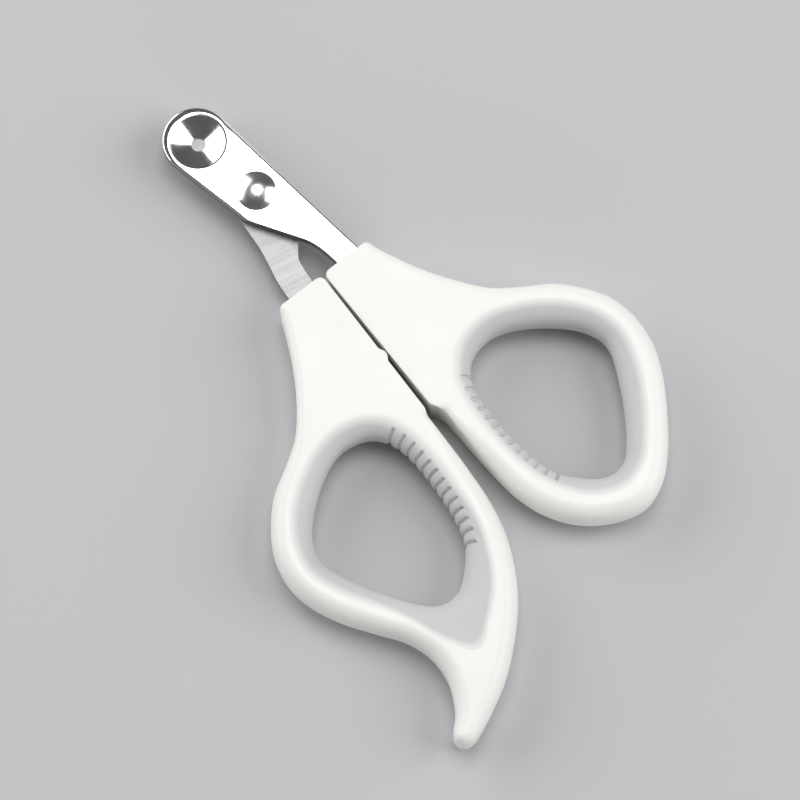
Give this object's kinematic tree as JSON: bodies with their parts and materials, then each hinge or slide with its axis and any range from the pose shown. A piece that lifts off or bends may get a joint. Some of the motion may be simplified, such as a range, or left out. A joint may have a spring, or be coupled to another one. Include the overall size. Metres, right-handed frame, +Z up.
{
  "type": "pet nail trimmer",
  "caption": "Scissors-type pet nail trimmer with a countersunk claw hole in its upper blade, ring handles with soft liners and a curved finger spur.",
  "frame": {"origin": "centre of the outline's box, on the underside of the handles", "axes": "+Y to the blade tip, +Z up through the faces of the blades, +X to the plain ring"},
  "size_m": [0.0834, 0.1304, 0.01],
  "materials": {
    "polished_steel": "mirror polished stainless steel",
    "brushed_steel": "fine cross-brushed stainless steel",
    "white_plastic": "satin moulded plastic, warm white",
    "grey_rubber": "soft matte elastomer, light grey"
  },
  "bodies": {
    "right_half": {"upper_blade": "polished_steel", "pivot_rivet": "polished_steel", "rivet_cap": "polished_steel", "right_handle": "white_plastic", "right_grip": "grey_rubber"},
    "left_half": {"lower_blade": "brushed_steel", "left_handle": "white_plastic", "left_grip": "grey_rubber"}
  },
  "joints": [
    {"name": "blade_pivot", "type": "hinge", "parent": "right_half", "child": "left_half", "pos_m": [0.00055, 0.0435, 0.005], "axis": [0, 0, -1], "range_deg": [0, 40]}
  ]
}
